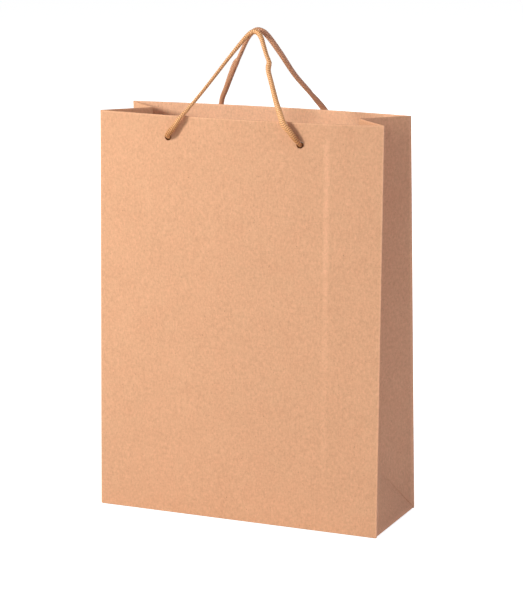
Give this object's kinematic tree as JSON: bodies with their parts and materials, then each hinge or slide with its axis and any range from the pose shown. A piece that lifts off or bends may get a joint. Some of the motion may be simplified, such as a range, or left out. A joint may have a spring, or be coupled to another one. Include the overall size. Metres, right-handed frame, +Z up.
{
  "type": "gift bag",
  "caption": "Standing paper gift bag with side gussets, a flat glued base, a turned-in top and a knotted cord handle on each big panel.",
  "frame": {"origin": "centre of the underside of the base, on the ground plane", "axes": "+X across the wide face to the right, -Y towards the front panel, +Z up towards the mouth and handles"},
  "size_m": [0.24, 0.0919, 0.3877],
  "materials": {
    "kraft_panels": "matt natural kraft paper",
    "kraft_gussets": "matt natural kraft paper",
    "kraft_base": "matt natural kraft paper, glued flaps",
    "kraft_inside": "matt natural kraft paper, inside face",
    "board": "uncoated grey-brown card",
    "cord": "twisted golden-tan cord"
  },
  "bodies": {
    "base": {"base_front_flap": "kraft_base", "base_back_flap": "kraft_base", "base_left_dust_flap": "kraft_base", "base_right_dust_flap": "kraft_base"},
    "base_board": {"base_board": "board"},
    "left_gusset_foot": {"left_gusset_foot": "kraft_gussets"},
    "right_gusset_foot": {"right_gusset_foot": "kraft_gussets"},
    "front_panel": {"front_panel": "kraft_panels", "front_hem_card": "board", "front_hem": "kraft_inside"},
    "back_panel": {"back_panel": "kraft_panels", "back_hem_card": "board", "back_hem": "kraft_inside", "side_seam_tab": "kraft_inside"},
    "right_front_leaf": {"right_front_leaf": "kraft_gussets", "right_front_leaf_hem": "kraft_gussets"},
    "right_back_leaf": {"right_back_leaf": "kraft_gussets", "right_back_leaf_hem": "kraft_gussets"},
    "left_front_leaf": {"left_front_leaf": "kraft_gussets", "left_front_leaf_hem": "kraft_gussets"},
    "left_back_leaf": {"left_back_leaf": "kraft_gussets", "left_back_leaf_hem": "kraft_gussets"},
    "front_cord_ends": {"front_left_cord_end": "cord", "front_right_cord_end": "cord"},
    "back_cord_ends": {"back_left_cord_end": "cord", "back_right_cord_end": "cord"},
    "front_handle": {"front_handle_cord": "cord"},
    "back_handle": {"back_handle_cord": "cord"}
  },
  "joints": [
    {"name": "mouth_close", "type": "hinge", "parent": "base", "child": "front_panel", "pos_m": [0, -0.0424, 0.0003], "axis": [-1, 0, 0], "range_deg": [-1, 4.6]},
    {"name": "back_panel_lean", "type": "hinge", "parent": "base", "child": "back_panel", "pos_m": [0, 0.0424, 0.0003], "axis": [1, 0, 0], "range_deg": [-1, 4.6]},
    {"name": "right_front_leaf_fold", "type": "hinge", "parent": "front_panel", "child": "right_front_leaf", "pos_m": [0.11985, -0.04185, 0], "axis": [0, 0.041, 0.9992], "range_deg": [-9, 41.4]},
    {"name": "right_back_leaf_fold", "type": "hinge", "parent": "back_panel", "child": "right_back_leaf", "pos_m": [0.11985, 0.04185, 0], "axis": [0, 0.041, -0.9992], "range_deg": [-9, 41.4]},
    {"name": "right_foot_fold", "type": "hinge", "parent": "base", "child": "right_gusset_foot", "pos_m": [0.1197, 0, 0.0012], "axis": [0, -1, 0], "range_deg": [-2.35, 10.81]},
    {"name": "left_front_leaf_fold", "type": "hinge", "parent": "front_panel", "child": "left_front_leaf", "pos_m": [-0.11985, -0.04185, 0], "axis": [0, -0.041, -0.9992], "range_deg": [-9, 41.4]},
    {"name": "left_back_leaf_fold", "type": "hinge", "parent": "back_panel", "child": "left_back_leaf", "pos_m": [-0.11985, 0.04185, 0], "axis": [0, -0.041, 0.9992], "range_deg": [-9, 41.4]},
    {"name": "left_foot_fold", "type": "hinge", "parent": "base", "child": "left_gusset_foot", "pos_m": [-0.1197, 0, 0.0012], "axis": [0, 1, 0], "range_deg": [-2.35, 10.81]},
    {"name": "front_cord_ends_swivel", "type": "hinge", "parent": "front_panel", "child": "front_cord_ends", "pos_m": [0, -0.03607, 0.3045], "axis": [1, 0, 0], "range_deg": [-4.65, 21.39]},
    {"name": "front_handle_swing", "type": "hinge", "parent": "front_cord_ends", "child": "front_handle", "pos_m": [0, -0.043, 0.3205], "axis": [1, 0, 0], "range_deg": [0, 178]},
    {"name": "back_cord_ends_swivel", "type": "hinge", "parent": "back_panel", "child": "back_cord_ends", "pos_m": [0, 0.03495, 0.3045], "axis": [-1, 0, 0], "range_deg": [-4.65, 21.39]},
    {"name": "back_handle_swing", "type": "hinge", "parent": "back_cord_ends", "child": "back_handle", "pos_m": [0, 0.043, 0.3205], "axis": [-1, 0, 0], "range_deg": [0, 178]},
    {"name": "base_board_lift", "type": "hinge", "parent": "base", "child": "base_board", "pos_m": [0, 0.04, 0.00095], "axis": [-1, 0, 0], "range_deg": [0, 4]}
  ],
  "couplings": [
    {"joint": "back_panel_lean", "follows": "mouth_close", "ratio": 1},
    {"joint": "right_front_leaf_fold", "follows": "mouth_close", "ratio": 9},
    {"joint": "right_back_leaf_fold", "follows": "mouth_close", "ratio": 9},
    {"joint": "right_foot_fold", "follows": "mouth_close", "ratio": 2.35},
    {"joint": "left_front_leaf_fold", "follows": "mouth_close", "ratio": 9},
    {"joint": "left_back_leaf_fold", "follows": "mouth_close", "ratio": 9},
    {"joint": "left_foot_fold", "follows": "mouth_close", "ratio": 2.35},
    {"joint": "front_cord_ends_swivel", "follows": "mouth_close", "ratio": 4.65},
    {"joint": "back_cord_ends_swivel", "follows": "mouth_close", "ratio": 4.65}
  ]
}
